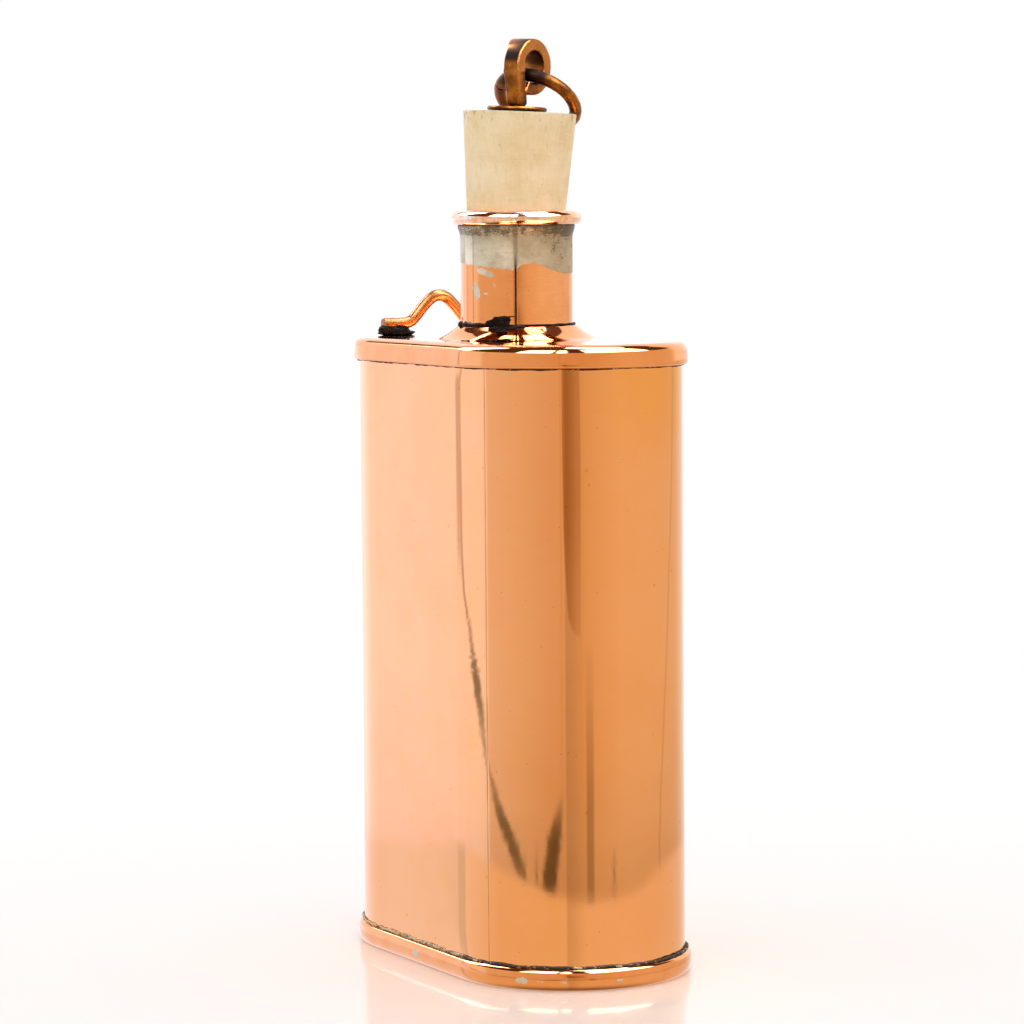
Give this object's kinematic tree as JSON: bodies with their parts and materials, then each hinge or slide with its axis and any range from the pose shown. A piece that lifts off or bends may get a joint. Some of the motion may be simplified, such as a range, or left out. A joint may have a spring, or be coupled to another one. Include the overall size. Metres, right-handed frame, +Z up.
{
  "type": "water bottle",
  "caption": "Flat-sided copper water bottle with round ends, a short neck, a tapered rubber stopper and a swinging pull ring.",
  "frame": {"origin": "centre of the base, on the resting plane", "axes": "+Z up through the neck, +X along the long side of the body, +Y across its two flat sides"},
  "size_m": [0.1182, 0.0648, 0.246],
  "materials": {
    "copper": "polished copper sheet with fine rubbing marks and light tarnish",
    "tinned_copper": "polished copper, dull grey tin wiped over its upper half",
    "aged_copper": "brown aged copper, bright where it rubs",
    "rim_wire": "dull iron wire",
    "solder": "dull lead solder, dark with dirt",
    "sealant": "black pitch-like compound, half gloss",
    "rubber": "cream rubber, faintly stained"
  },
  "bodies": {
    "bottle": {"body_tube": "copper", "body_seam_solder": "solder", "base_plate": "copper", "shoulder_plate": "copper", "shoulder_solder": "solder", "base_solder": "solder", "neck_tube": "tinned_copper", "rim_wire": "rim_wire", "neck_seam_solder": "solder", "neck_sealant": "sealant", "chain_loop": "aged_copper", "loop_solder_left": "sealant", "loop_solder_right": "sealant"},
    "stopper": {"stopper_plug": "rubber", "top_washer": "aged_copper", "bottom_washer": "aged_copper"},
    "eye": {"eye_bolt": "aged_copper", "stem_nut": "aged_copper"},
    "ring": {"pull_ring": "aged_copper"}
  },
  "joints": [
    {"name": "stopper_pull", "type": "slide", "parent": "bottle", "child": "stopper", "axis": [0.0213, 0.0401, 0.999], "range_m": [0, 0.045]},
    {"name": "eye_swivel", "type": "hinge", "parent": "stopper", "child": "eye", "pos_m": [-0.00035, -0.00066, 0.20043], "axis": [0.0213, 0.0401, 0.999], "continuous": true},
    {"name": "ring_swing", "type": "hinge", "parent": "eye", "child": "ring", "pos_m": [-0.00167, 0.00345, 0.23648], "axis": [0.8401, 0.5409, -0.0396], "range_deg": [-1.5, 240]}
  ]
}
